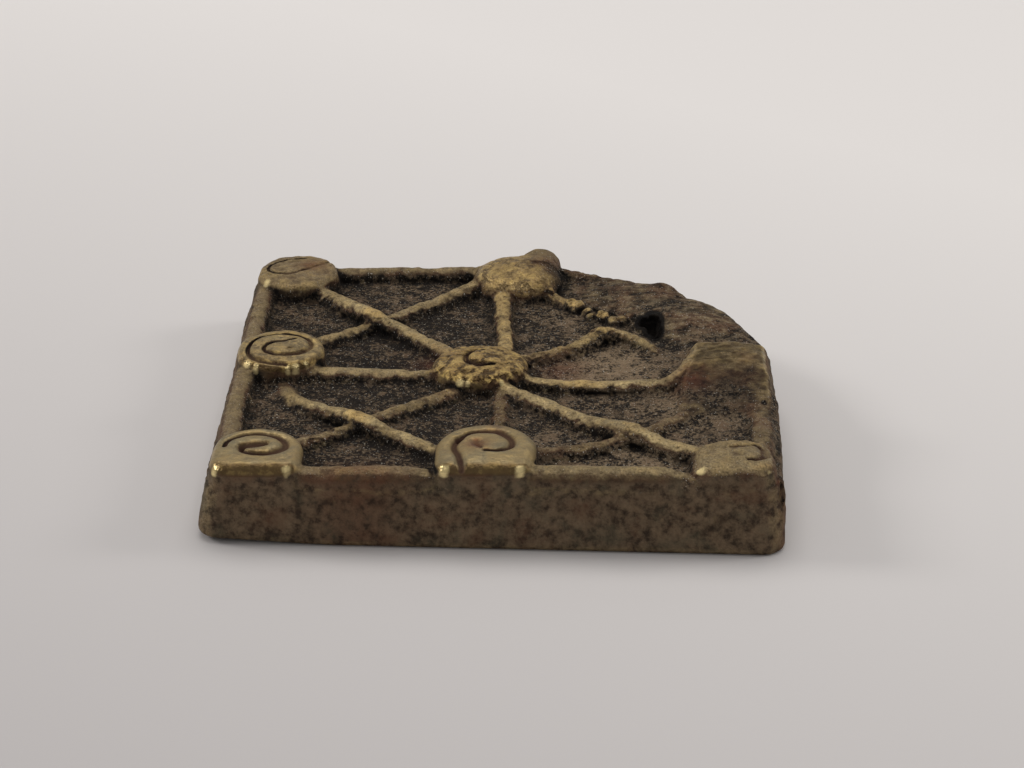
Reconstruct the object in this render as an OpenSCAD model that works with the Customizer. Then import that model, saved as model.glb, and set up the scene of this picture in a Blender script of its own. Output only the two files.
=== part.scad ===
// Akan gold weight: a small cast-brass tablet. Spiral bosses stand on its face in three rows,
// and wax-thread ridges join them along the edges, across the middle and corner to corner.
// The metal failed to fill the back right corner, which is a smooth swell instead.
// Origin: middle of the flat underside. +X runs along the front edge, +Y to the back, +Z up.
// Every node is one element of the wax model that the tablet was cast from.

/* [Plate] */
// Width of the plate at its base
plate_w = 36; // [32:0.5:42]
// Depth of the plate at its base
plate_d = 34; // [30:0.5:40]
// Height of the sunk field above the underside, at the middle
field_z = 4.05; // [3.4:0.05:5]
// Rise of the field to the right, in degrees
field_tilt = 1.5; // [0:0.1:2.5]
// Lean of the left wall, in degrees from upright
left_lean = 10; // [2:0.5:12]
// Lean of the right wall, in degrees from upright
right_lean = 4; // [2:0.5:12]
// Lean of the front and back walls, in degrees from upright
front_lean = 5; // [2:0.5:10]
// Radius of the sound corners in plan
corner_r = 2; // [1:0.1:3]
// Radius that rounds the bottom edges
base_edge_r = 0.8; // [0.3:0.1:1.2]

/* [Bosses] */
// Distance from the left and right edges to the centres of the outer bosses
side_inset = 3.3; // [3.2:0.1:4]
// Distance from the front edge to the centres of the front bosses
front_inset = 2.9; // [2.4:0.1:3.4]
// Distance from the back edge to the centres of the back bosses
back_inset = 3.1; // [3:0.1:4]
// Diameter of the corner bosses
corner_boss_d = 5.4; // [4.4:0.1:6]
// Diameter of the bosses at the middles of the edges
edge_boss_d = 5.6; // [4.6:0.1:6.2]
// Diameter of the centre boss
centre_boss_d = 6; // [5:0.1:7]
// Height of a boss above the field
boss_h = 1.5; // [1.2:0.05:2]
// Rise of a flat boss's top above its shoulder
flat_crown = 0.2; // [0.1:0.05:0.4]
// Rise of a domed boss's top above its shoulder
dome_crown = 0.55; // [0.3:0.05:0.7]
// Radius that rounds a boss's shoulder
boss_edge_r = 0.4; // [0.2:0.05:0.5]

/* [Spirals] */
// Width of the spiral grooves
groove_w = 0.44; // [0.3:0.02:0.6]
// Depth of the spiral grooves
groove_depth = 0.26; // [0.1:0.02:0.4]
// Radius at which a groove ends inside its spiral
spiral_eye = 0.3; // [0.2:0.05:0.5]
// Distance from a boss's edge to the outer turn of its groove
spiral_margin = 0.85; // [0.6:0.05:1.1]

/* [Threads] */
// Diameter of the threads that cross the field
thread_d = 1.3; // [0.9:0.05:1.6]
// Height of a thread's crest above the field
thread_h = 0.7; // [0.5:0.05:0.9]
// Extra height of a thread's crest where it passes over another
over_rise = 0.55; // [0.3:0.05:0.7]
// Height of such a thread's crest at its ends
over_end_h = 0.35; // [0.2:0.05:0.6]
// Diameter of the threads along the edges
rim_d = 1.5; // [1:0.05:1.8]
// Height of the edge threads' crest above the field
rim_h = 0.95; // [0.6:0.05:1.1]
// Distance from the outer side of a side edge thread to that of the bosses
rim_side_tuck = 0.1; // [0.05:0.05:0.6]
// Distance from the outer side of a back edge thread to that of the bosses
rim_back_tuck = 0.6; // [0.05:0.05:1]
// Distance from the centre boss's middle to the axes of the front and back arms, to the right
arm_shift = 1.4; // [0.4:0.1:1.8]
// Sideways bow of the right arm, less than 0 towards the front
arm_right_bow = -1.6; // [-2.5:0.1:-0.5]
// Sideways bow of the front right thread, less than 0 towards the right
under_front_right_bow = -1.9; // [-2.5:0.1:-0.5]

/* [Unfilled corner] */
// Radius of the back right corner in plan
swell_corner_r = 16; // [12:0.5:18]
// Width of the swell, inward from that corner's outline
swell_w = 5.9; // [4.5:0.1:7]
// Height of the swell above the field
swell_h = 0.85; // [0.7:0.05:1.4]
// Height of the crest of the edge thread that runs into that corner and hardly filled
faint_rim_h = 0.65; // [0.3:0.05:0.9]
// Slope at which the swell runs out towards the back, in degrees
swell_ramp = 8; // [5:0.5:14]
// Diameter of the run-together boss at the right edge
run_boss_d = 6.4; // [5:0.1:7]
// Diameter of the gas pit at the swell's inner foot
pit_d = 1.8; // [1:0.1:2.4]
// Depth of that pit below the field
pit_depth = 1.2; // [0.6:0.1:2]

/* [Gate] */
// Diameter of the stub of the casting gate on the back wall
gate_d = 3; // [2:0.1:3.4]
// Distance that the stub stands out of the back wall at its base
gate_reach = 0.7; // [0.4:0.05:1.2]
// Place of the stub along the back wall
gate_x = 2; // [0:0.1:4]

/* [Hidden] */
$fn = 64;
// Steps in a full turn of a long thin arc
arc_fn = 720;
// Steps in a full turn of a wide low arc
crown_fn = 240;
// Larger than the part, for cutting blocks
big = 4 * max(plate_w, plate_d);
// Height of the block that the plate is cut from, above the highest point of its field
block_h = field_z + plate_w * tan(field_tilt) + boss_h;

// Centres of the bosses in plan. The middle ones were laid by eye, off the true middle lines.
col_x = plate_w / 2 - side_inset;
front_y = front_inset - plate_d / 2;
back_y = plate_d / 2 - back_inset;
front_left = [-col_x, front_y];
front_middle = [-0.4, front_y];
front_right = [col_x, front_y];
left_middle = [-col_x, 0.8];
centre = [-1.3, -1];
right_middle = [col_x, 0.8];
back_left = [-col_x, back_y];
back_middle = [0.7, back_y];

// Axes of the edge threads
rim_side_x = col_x + corner_boss_d / 2 - rim_side_tuck - rim_d / 2;
rim_back_y = back_y + corner_boss_d / 2 - rim_back_tuck - rim_d / 2;
rim_front_y = -plate_d / 2 + field_z * tan(front_lean) + rim_d / 2;

// Ends of the crossing threads, laid by eye against the bosses
under_front_left = [front_left + [0, 1], centre + [0, -1.6]];
under_back_left = [left_middle + [0, 0.8], back_middle + [-0.8, 0.6]];
under_front_right = [front_middle + [0.6, 0.8], right_middle + [-1.6, -5.4]];
over_front_left = [left_middle + [1.2, -4.8], front_middle + [-1, 0.6]];
over_back_left = [back_left, centre];
over_front_right = [centre + [-0.2, -1.2], front_right];

// Point of a straight thread at a given x
function at_x(ends, x) =
  ends[0] + (x - ends[0].x) / (ends[1].x - ends[0].x) * (ends[1] - ends[0]);

// Middle of the unfilled corner's arc, and the radii of the swell and of the edge thread about it
swell_centre = [plate_w / 2 - swell_corner_r, plate_d / 2 - swell_corner_r];
swell_mid_r = swell_corner_r - swell_w / 2;
rim_arc_r = swell_corner_r - field_z * tan(front_lean) - rim_d / 2;
// Plan directions from the arc's middle, in degrees. The swell starts inside the boss at the right
// edge and runs out beside the one at the back, where the edge thread starts.
swell_start = asin((right_middle.y - swell_centre.y) / swell_mid_r);
swell_end = acos((back_middle.x + edge_boss_d / 4 - swell_centre.x) / swell_mid_r);
rim_start = acos((back_middle.x - swell_centre.x) / rim_arc_r);
// Directions of the pit and of the edge thread's end, and what is left beyond the swell's end
pit_bearing = 38;
rim_end = 58;
end_spare = 6;

// Bend and ends of the two threads that broke off
broken_bend = centre + [7.7, 6.1];
broken_end = broken_bend + [3.2, -1.8];
broken_back_end = back_middle + [4.6, -5];
// Diameter of the bent end
bent_d = 0.85 * thread_d;

// Steps in a turn of a spiral, and how much narrower its inner end is
band_steps = 18;
inner_taper = 0.5;

// Colours of worn and of dirt-filled brass
worn_brass = "#85714e";
dull_brass = "#6f5f45";
dark_brass = "#43372b";

// Puts children on the sloping field, with the field at z = 0
module on_field() {
  translate([0, 0, field_z]) rotate([0, -field_tilt, 0]) children();
}

// Everything above the field, or below it
module above_field() {
  translate([0, 0, big / 2]) cube(big, center = true);
}

module below_field() {
  translate([0, 0, -big / 2]) cube(big, center = true);
}

// Upright outline of the plate: a base of width w with rounded bottom corners and leaning sides
module leaning_outline(w, lean_a, lean_b) {
  r = base_edge_r;
  top = block_h;
  polygon([
    [-w / 2, r], [w / 2, r],
    [w / 2 - (top - r) * tan(lean_b), top], [-w / 2 + (top - r) * tan(lean_a), top]
  ]);
  translate([-w / 2 + r, 0]) square([w - 2 * r, r]);
  for (side = [-1, 1]) translate([side * (w / 2 - r), r]) circle(r);
}

// Square corner with its outer point left over when rounded with radius r
module corner_waste(r) {
  difference() {
    translate([-r, -r]) square(2 * r);
    translate([-r, -r]) circle(r);
  }
}

// Plan of the plate: three sound corners and the one that stayed unfilled
module plan_outline() {
  difference() {
    square([plate_w, plate_d], center = true);
    translate([-plate_w / 2, plate_d / 2]) mirror([1, 0]) corner_waste(corner_r);
    translate([-plate_w / 2, -plate_d / 2]) mirror([1, 0]) mirror([0, 1]) corner_waste(corner_r);
    translate([plate_w / 2, -plate_d / 2]) mirror([0, 1]) corner_waste(corner_r);
    translate([plate_w / 2, plate_d / 2]) corner_waste(swell_corner_r);
  }
}

// Leaning wall planes. Each cuts away what lies beyond one wall, at any height.
module beyond_wall(turn, reach, lean) {
  rotate([0, 0, turn]) translate([0, -reach, base_edge_r]) rotate([-lean, 0, 0])
    translate([0, -big / 2, 0]) cube(big, center = true);
}

module beyond_front() { beyond_wall(0, plate_d / 2, front_lean); }
module beyond_right() { beyond_wall(90, plate_w / 2, right_lean); }
module beyond_back() { beyond_wall(180, plate_d / 2, front_lean); }
module beyond_left() { beyond_wall(270, plate_w / 2, left_lean); }

// Radius of the arc over a top of radius r that rises by crown
function crown_radius(r, crown) = (pow(r, 2) + pow(crown, 2)) / (2 * crown);

// Half section of a crowned top that starts at height z
module crown_section(r, z, crown) {
  cap_r = crown_radius(r, crown);
  intersection() {
    translate([0, z + crown - cap_r]) circle(cap_r, $fn = crown_fn);
    translate([0, z]) square([r, crown]);
  }
}

// Half section of a flat boss of radius r: upright side, rounded shoulder and low crown
module flat_section(r, h) {
  flat_r = r - boss_edge_r;
  shoulder = h - flat_crown;
  square([flat_r, shoulder]);
  square([r, shoulder - boss_edge_r]);
  translate([flat_r, shoulder - boss_edge_r]) intersection() {
    circle(boss_edge_r);
    square(boss_edge_r);
  }
  crown_section(flat_r, shoulder, flat_crown);
}

// Round flat boss, before its spiral is cut
module flat_form(at, d) {
  on_field() translate(at) rotate_extrude() flat_section(d / 2, boss_h);
}

// Round domed boss
module dome_form(at, d) {
  on_field() translate(at) rotate_extrude() {
    square([d / 2, boss_h - dome_crown]);
    crown_section(d / 2, boss_h - dome_crown, dome_crown);
  }
}

// Boss of the front row: round at the back, and running straight out to the front wall
module front_form(at, d) {
  on_field() translate(at) {
    rotate_extrude(angle = 180) flat_section(d / 2, boss_h);
    rotate([90, 0, 0]) linear_extrude(front_inset) {
      flat_section(d / 2, boss_h);
      mirror([1, 0]) flat_section(d / 2, boss_h);
    }
  }
}

// Upright cylinder in a boss's place, which ends the threads that run into its side
module core(at, d) {
  on_field() translate([at.x, at.y, -boss_h]) cylinder(h = 3 * boss_h, d = d);
}

// Block in the straight part of a front boss, which ends the edge threads
module front_core(at, d) {
  on_field() translate([at.x - d / 2, at.y - front_inset, -boss_h])
    cube([d, front_inset, 3 * boss_h]);
}

module core_front_left() { core(front_left, corner_boss_d); }
module core_front_middle() { core(front_middle, edge_boss_d); }
module core_front_right() { core(front_right, corner_boss_d); }
module core_left_middle() { core(left_middle, edge_boss_d); }
module core_centre() { core(centre, centre_boss_d); }
module core_right_middle() { core(right_middle, run_boss_d); }
module core_back_left() { core(back_left, corner_boss_d); }
module core_back_middle() { core(back_middle, edge_boss_d); }

// Band along a spiral that winds inward from radius r_out to the eye, narrowing on the way
module spiral_band(r_out, turns) {
  steps = ceil(turns * band_steps);
  pitch = (r_out - spiral_eye) / turns;
  rail = function(side) [
    for (k = [0 : steps])
      let (turn = turns * k / steps)
      let (half_w = groove_w / 2 * (1 - inner_taper * k / steps))
      (r_out - pitch * turn + side * half_w) * [cos(360 * turn), sin(360 * turn)]
  ];
  inner = rail(-1);
  polygon(concat(rail(1), [for (k = [steps : -1 : 0]) inner[k]]));
}

// Cuts a spiral into the boss that is its child. top_r is the radius of the boss's crown,
// start the bearing of the spiral's outer end, and hand is -1 where it winds the other way.
module with_spiral(at, d, top_r, crown, start, turns, hand) {
  r_out = d / 2 - spiral_margin;
  cap_r = crown_radius(top_r, crown);
  middle_z = boss_h - cap_r + sqrt(pow(cap_r, 2) - pow((r_out + spiral_eye) / 2, 2));
  difference() {
    children();
    on_field() translate([at.x, at.y, middle_z - groove_depth]) rotate([0, 0, start])
      mirror([0, hand < 0 ? 1 : 0, 0]) linear_extrude(boss_h) spiral_band(r_out, turns);
  }
}

module with_flat_spiral(at, d, start, turns, hand = 1) {
  with_spiral(at, d, d / 2 - boss_edge_r, flat_crown, start, turns, hand) children();
}

// Straight rod between two plan points, with its crest at height crest
module straight_rod(a, b, d, crest) {
  run = b - a;
  translate([a.x, a.y, crest - d / 2])
    rotate([0, 0, atan2(run.y, run.x)]) rotate([0, 90, 0]) cylinder(h = norm(run), d = d);
}

// Rod bent along an arc between two plan points. bow is the arc's height over its chord,
// to the left of the run in plan, or upright where upright is true.
module arc_rod(a, b, d, crest, bow, upright = false) {
  run = b - a;
  r = (pow(norm(run) / 2, 2) + pow(bow, 2)) / (2 * abs(bow));
  half = asin(norm(run) / 2 / r);
  translate([(a.x + b.x) / 2, (a.y + b.y) / 2, crest - d / 2])
    rotate([0, 0, atan2(run.y, run.x)])
    rotate([upright ? 90 : 0, 0, 0])
    mirror([0, bow < 0 ? 1 : 0, 0])
    translate([0, abs(bow) - r, 0])
    rotate([0, 0, 90 - half]) rotate_extrude(angle = 2 * half, $fn = arc_fn)
    translate([r, 0]) circle(d = d, $fn = 64);
}

// Rod laid on the field, the first child, without what would lie below the field.
// The other children are what it runs into.
module laid_rod() {
  difference() {
    on_field() difference() {
      children(0);
      below_field();
    }
    children([1 : $children - 1]);
  }
}

// Straight edge thread. Its children are what ends it.
module rim_thread(a, b) {
  color(dull_brass) laid_rod() {
    straight_rod(a, b, rim_d, rim_h);
    children();
  }
}

// Straight field thread. Its children are what it runs into.
module field_thread(ends) {
  color(worn_brass) laid_rod() {
    straight_rod(ends[0], ends[1], thread_d, thread_h);
    children();
  }
}

// Field thread that rises over another. Its children are what it runs into and crosses.
module over_thread(ends) {
  color(worn_brass) laid_rod() {
    over_rod(ends);
    children();
  }
}

// Threads that cross others, whole and in the field's frame
module over_rod(ends) {
  bow = thread_h + over_rise - over_end_h;
  arc_rod(ends[0], ends[1], thread_d, over_end_h, bow, upright = true);
}

module under_rod_front_left() {
  straight_rod(under_front_left[0], under_front_left[1], thread_d, thread_h);
}

module under_rod_back_left() {
  straight_rod(under_back_left[0], under_back_left[1], thread_d, thread_h);
}

module under_rod_front_right() {
  arc_rod(under_front_right[0], under_front_right[1], thread_d, thread_h, under_front_right_bow);
}

module base_plate() {
  color(dark_brass) difference() {
    intersection() {
      linear_extrude(block_h) plan_outline();
      rotate([90, 0, 0])
        linear_extrude(big, center = true) leaning_outline(plate_w, left_lean, right_lean);
      rotate([90, 0, 90])
        linear_extrude(big, center = true) leaning_outline(plate_d, front_lean, front_lean);
    }
    on_field() above_field();
    gas_pit();
  }
}

module boss_front_left() {
  color(worn_brass) difference() {
    with_flat_spiral(front_left, corner_boss_d, 200, 1.6, -1)
      front_form(front_left, corner_boss_d);
    beyond_front();
    beyond_left();
  }
}

module boss_front_middle() {
  color(worn_brass) difference() {
    with_flat_spiral(front_middle, edge_boss_d, 235, 1.5, -1)
      front_form(front_middle, edge_boss_d);
    beyond_front();
  }
}

module boss_front_right() {
  color(worn_brass) difference() {
    with_flat_spiral(front_right, corner_boss_d, 320, 1.2)
      front_form(front_right, corner_boss_d);
    beyond_front();
    beyond_right();
  }
}

module boss_left_middle() {
  color(worn_brass) difference() {
    with_flat_spiral(left_middle, edge_boss_d, 250, 2, -1) flat_form(left_middle, edge_boss_d);
    beyond_left();
  }
}

module boss_centre() {
  color(worn_brass)
    with_spiral(centre, centre_boss_d, centre_boss_d / 2, dome_crown, 340, 1.4, -1)
      dome_form(centre, centre_boss_d);
}

// The boss at the right edge ran together with the swell and kept no spiral
module boss_right_middle() {
  color(dull_brass) difference() {
    dome_form(right_middle, run_boss_d);
    beyond_right();
  }
}

module boss_back_left() {
  color(worn_brass) difference() {
    with_flat_spiral(back_left, corner_boss_d, 20, 1.7) flat_form(back_left, corner_boss_d);
    beyond_back();
    beyond_left();
  }
}

// The boss at the back is a smooth dome
module boss_back_middle() {
  color(worn_brass) difference() {
    dome_form(back_middle, edge_boss_d);
    beyond_back();
  }
}

module rim_front_left() {
  rim_thread([front_left.x, rim_front_y], [front_middle.x, rim_front_y]) {
    front_core(front_left, corner_boss_d);
    front_core(front_middle, edge_boss_d);
  }
}

module rim_front_right() {
  rim_thread([front_middle.x, rim_front_y], [front_right.x, rim_front_y]) {
    front_core(front_middle, edge_boss_d);
    front_core(front_right, corner_boss_d);
  }
}

module rim_left_front() {
  rim_thread([-rim_side_x, front_left.y], [-rim_side_x, left_middle.y]) {
    core_front_left();
    core_left_middle();
  }
}

module rim_left_back() {
  rim_thread([-rim_side_x, left_middle.y], [-rim_side_x, back_left.y]) {
    core_left_middle();
    core_back_left();
  }
}

module rim_back_left() {
  rim_thread([back_left.x, rim_back_y], [back_middle.x, rim_back_y]) {
    core_back_left();
    core_back_middle();
  }
}

// The back edge thread follows the unfilled corner's arc for a short way and runs out there
module rim_back_right() {
  color(dull_brass) laid_rod() {
    translate([swell_centre.x, swell_centre.y, faint_rim_h - rim_d / 2])
      rotate([0, 0, rim_end]) rotate_extrude(angle = rim_start - rim_end, $fn = arc_fn)
      translate([rim_arc_r, 0]) circle(d = rim_d, $fn = 64);
    core_back_middle();
    swell_form(boss_h);
  }
}

module rim_right_front() {
  rim_thread([rim_side_x, front_right.y], [rim_side_x, right_middle.y]) {
    core_front_right();
    core_right_middle();
  }
}

module arm_left() {
  field_thread([left_middle + [0, -1.6], centre + [0, -0.4]]) {
    core_left_middle();
    core_centre();
  }
}

// The right arm sags towards the front
module arm_right() {
  color(worn_brass) laid_rod() {
    arc_rod(centre + [0, -0.4], right_middle + [0, -1], thread_d, thread_h, arm_right_bow);
    core_centre();
    core_right_middle();
  }
}

// The front arm starts under the thread that leaves the centre boss beside it
module arm_front() {
  field_thread([at_x(over_front_right, centre.x + arm_shift), front_middle + [0.6, 0]]) {
    core_centre();
    core_front_middle();
    on_field() over_rod(over_front_right);
  }
}

module arm_back() {
  field_thread([back_middle + [-0.8, 0], centre + [arm_shift, 0]]) {
    core_back_middle();
    core_centre();
  }
}

module under_thread_front_left() {
  color(worn_brass) laid_rod() {
    under_rod_front_left();
    core_front_left();
    core_centre();
  }
}

// The thread from the left boss starts free of it
module over_thread_front_left() {
  over_thread(over_front_left) {
    core_front_middle();
    on_field() under_rod_front_left();
  }
}

module under_thread_back_left() {
  color(worn_brass) laid_rod() {
    under_rod_back_left();
    core_left_middle();
    core_back_middle();
  }
}

module over_thread_back_left() {
  over_thread(over_back_left) {
    core_back_left();
    core_centre();
    on_field() under_rod_back_left();
  }
}

// The thread towards the right boss ends short of it
module under_thread_front_right() {
  color(worn_brass) laid_rod() {
    under_rod_front_right();
    core_front_middle();
  }
}

module over_thread_front_right() {
  over_thread(over_front_right) {
    core_centre();
    core_front_right();
    on_field() under_rod_front_right();
  }
}

// The thread to the missing corner boss, which bends away thinner at the pit and breaks off
module broken_thread_centre() {
  back_step = bent_d / 2 * (broken_bend - broken_end) / norm(broken_bend - broken_end);
  color(worn_brass) laid_rod() {
    union() {
      straight_rod(centre, broken_bend, thread_d, thread_h);
      straight_rod(broken_bend + back_step, broken_end, bent_d, thread_h);
    }
    core_centre();
  }
}

// The thread from the back boss to the right one, of which only the start filled
module broken_thread_back() {
  field_thread([back_middle, broken_back_end]) {
    core_back_middle();
    swell_form(boss_h);
  }
}

// Half section of the swell, which reaches below the field by sink
module swell_section(sink) {
  if (sink > 0) translate([0, -sink]) square([swell_w / 2, sink]);
  crown_section(swell_w / 2, 0, swell_h);
}

// Low rounded ridge that follows the unfilled corner's arc and runs out towards the back
module swell_form(sink) {
  on_field() translate(swell_centre) difference() {
    rotate([0, 0, swell_start])
      rotate_extrude(angle = swell_end + end_spare - swell_start, $fn = crown_fn)
      translate([swell_mid_r, 0]) {
        swell_section(sink);
        mirror([1, 0]) swell_section(sink);
      }
    rotate([0, 0, swell_end]) rotate([-swell_ramp, 0, 0]) above_field();
  }
}

// Pit that gas left in the field at the foot of the swell, narrowing downwards
module gas_pit() {
  pit_r = swell_corner_r - swell_w - pit_d / 2;
  at = swell_centre + pit_r * [cos(pit_bearing), sin(pit_bearing)];
  on_field() translate([at.x, at.y, -pit_depth])
    cylinder(h = 2 * pit_depth, d1 = pit_d / 2, d2 = 3 / 2 * pit_d);
}

module corner_swell() {
  color(dull_brass) difference() {
    swell_form(0);
    core_right_middle();
    beyond_right();
    beyond_back();
  }
}

// Stub of the gate that the metal was poured through, on the back wall behind the middle boss
module gate_stub() {
  color(dark_brass) intersection() {
    translate([gate_x, back_y, field_z + boss_h - gate_d / 2]) rotate([-90, 0, 0])
      rotate_extrude() flat_section(gate_d / 2, back_inset + gate_reach);
    beyond_back();
  }
}

base_plate();
boss_front_left();
boss_front_middle();
boss_front_right();
boss_left_middle();
boss_centre();
boss_right_middle();
boss_back_left();
boss_back_middle();
rim_front_left();
rim_front_right();
rim_left_front();
rim_left_back();
rim_back_left();
rim_back_right();
rim_right_front();
arm_left();
arm_right();
arm_front();
arm_back();
under_thread_front_left();
over_thread_front_left();
under_thread_back_left();
over_thread_back_left();
under_thread_front_right();
over_thread_front_right();
broken_thread_centre();
broken_thread_back();
corner_swell();
gate_stub();
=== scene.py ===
"""Looks of the Akan gold weight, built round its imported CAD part.

The tablet is one worn casting, so its pieces run into one another. All of them are cut from a single
distance field, worked out in millimetres, and each piece keeps the share of the surface that is its own.
"""

import math

import bpy
import numpy as np
from mathutils import Matrix, Vector


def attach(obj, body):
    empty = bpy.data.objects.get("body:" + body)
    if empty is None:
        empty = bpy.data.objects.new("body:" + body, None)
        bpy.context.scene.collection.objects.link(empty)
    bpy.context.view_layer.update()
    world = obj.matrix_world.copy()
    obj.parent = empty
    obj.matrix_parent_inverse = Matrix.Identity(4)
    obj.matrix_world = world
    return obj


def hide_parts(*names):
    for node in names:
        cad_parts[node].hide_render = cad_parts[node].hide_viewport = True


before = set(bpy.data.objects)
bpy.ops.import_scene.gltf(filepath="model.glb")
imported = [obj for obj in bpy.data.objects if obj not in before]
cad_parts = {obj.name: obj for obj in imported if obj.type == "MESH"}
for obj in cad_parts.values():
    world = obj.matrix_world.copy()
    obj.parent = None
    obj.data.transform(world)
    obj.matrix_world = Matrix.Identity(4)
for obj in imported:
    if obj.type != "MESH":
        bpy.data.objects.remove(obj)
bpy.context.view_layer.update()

# Metres in a millimetre
MM = 0.001
# Grid steps in millimetres
FINE = 0.105
COARSE = 0.156

# Plate
PLATE_W, PLATE_D = 36.0, 34.0
FIELD_Z, FIELD_SLOPE = 4.05, 0.0262
EDGE_R = 0.35
LEAN_LEFT, LEAN_RIGHT, LEAN_ENDS = (math.tan(math.radians(angle)) for angle in (10, 4, 5))
CORNER_LEFT, CORNER_FRONT = 2.0, 1.5
# The walls are upright below KINK_Z and lean above it, all WALL_INSET inside the solid's walls.
# What they cut off bosses and swell is drawn in by up to WALL_SUNK below the field
KINK_Z, KINK_SOFT = 0.8, 0.25
WALL_INSET, WALL_SUNK = 0.03, 0.6
# The underside lifts at the front left corner
FRONT_LIFT = 0.3
# Unfilled corner: centre and radius of its wall, then height, inner and outer radius of its swell
SWELL_X, SWELL_Y, SWELL_R = 2.0, 1.0, 16.0
SWELL_H, SWELL_IN, SWELL_OUT = 0.85, 9.0, 16.2
# Height of the smeared boss at the right edge
HUMP_H = 1.4
# The unfilled corner's top edge draws in unevenly: bearings in degrees, and by how much
INSET_AT = (-25, 0, 14, 30, 40, 46, 52, 56, 61, 67, 74, 84, 95)
INSET_BY = (0.0, 0.2, 0.3, 0.1, 0.05, 0.6, 0.0, 0.35, 0.95, 0.8, 0.6, 0.2, 0.0)
# Slot down the right front corner: centre and radii
SLOT_AT = np.array((17.75, -15.8, 3.7))
SLOT_SIZE = np.array((0.4, 0.4, 0.9))
# Gas pit at the swell's inner foot: lobes as x, y and two radii, then their height and depth
PIT = [(9.8, 6.8, 0.62, 1.15), (9.35, 7.0, 0.6, 0.65), (10.05, 5.9, 0.42, 0.7)]
PIT_H, PIT_DEEP = 0.25, 1.1
# Bosses widen downwards by BOSS_FLARE and reach BOSS_ROOT below the field
BOSS_FLARE, BOSS_ROOT = 0.1, 1.2
# Front bosses' lips: how far they stand out, at what height and over what width
LIP_OUT, LIP_H, LIP_W = 0.12, 0.75, 0.45
# Stub on the back wall
GATE_X, GATE_Z, GATE_R, GATE_EDGE = 2.0, 4.3, 1.5, 0.7
GATE_FROM, GATE_TO = 14.6, 17.35
# Raised forms that fade out dive under the field by this much
DIVE = 0.35
# Softness of the joins between pieces, and reach of a piece's influence round its box
BLEND = 0.15
REACH = 1.2
# Softness with which the looks of neighbouring pieces mix
MIX_SOFT = 0.16
# Room in the boxes of bosses and threads, and how far off its line a thread counts
BOSS_PAD, THREAD_PAD, THREAD_REACH = 0.7, 1.0, 2.4
# Softness of a groove's sides, and the depth from which a groove is fully dark
GROOVE_SOFT, FULL_GROOVE = 0.66, 0.28
# Distance where no piece is near, log of an empty sum, and log below which a sum says nothing
FAR, EMPTY, FAINT = 30.0, -60.0, -50.0
# How far from the skin the cast roughness is worked out
SKIN = 0.6
# Slope at which a piece dips under its neighbours past its own border, and where it ends
BORDER_DIP, BORDER_END = 0.5, 0.14
# Points lower than this belong to the flat underside
FLAT_Z = 0.005


def smooth(lo, hi, value):
    """Soft step from 0 at lo to 1 at hi."""
    t = np.clip((value - lo) / (hi - lo), 0.0, 1.0)
    return t * t * (3.0 - 2.0 * t)


def lattice(ix, iy, iz, seed):
    """Repeatable random value from 0 to 1 for each point of a whole-number lattice."""
    with np.errstate(over="ignore"):
        h = (ix.astype(np.uint32) * np.uint32(374761393)
             + iy.astype(np.uint32) * np.uint32(668265263)
             + iz.astype(np.uint32) * np.uint32(2246822519)
             + np.uint32(seed * 3266489917 % 4294967296))
        h = (h ^ (h >> np.uint32(15))) * np.uint32(2246822519)
        h = (h ^ (h >> np.uint32(13))) * np.uint32(3266489917)
        h = h ^ (h >> np.uint32(16))
    return h.astype(np.float64) / 4294967295.0


def noise(p, size, seed):
    """Smooth random value from -1 to 1, with features about size millimetres across."""
    q = p / size
    cell = np.floor(q).astype(np.int64)
    f = q - cell
    f = f * f * (3.0 - 2.0 * f)
    total = 0.0
    for dx in (0, 1):
        wx = f[:, 0] if dx else 1.0 - f[:, 0]
        for dy in (0, 1):
            wy = f[:, 1] if dy else 1.0 - f[:, 1]
            for dz in (0, 1):
                wz = f[:, 2] if dz else 1.0 - f[:, 2]
                value = lattice(cell[:, 0] + dx, cell[:, 1] + dy, cell[:, 2] + dz, seed)
                total = total + wx * wy * wz * value
    return 2.0 * total - 1.0


def rounded_max(a, b, r):
    """Intersection of two distances with a corner of radius r."""
    u = np.maximum(a + r, 0.0)
    v = np.maximum(b + r, 0.0)
    return np.hypot(u, v) + np.minimum(np.maximum(a + r, b + r), 0.0) - r


def curve(points, steps=5):
    """Smooth path through the points, which can have any number of columns."""
    pts = np.array(points, dtype=float)
    if len(pts) < 3:
        return pts
    ext = np.vstack([2 * pts[0] - pts[1], pts, 2 * pts[-1] - pts[-2]])
    rows = []
    for k in range(1, len(ext) - 2):
        a, b, c, d = ext[k - 1:k + 3]
        for t in np.arange(steps) / steps:
            rows.append(0.5 * (2 * b + (c - a) * t + (2 * a - 5 * b + 4 * c - d) * t ** 2
                               + (3 * b - a - 3 * c + d) * t ** 3))
    rows.append(pts[-1])
    return np.array(rows)


def rise(p):
    """Height above the sloping field."""
    return p[:, 2] - FIELD_Z - FIELD_SLOPE * p[:, 0]


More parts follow.
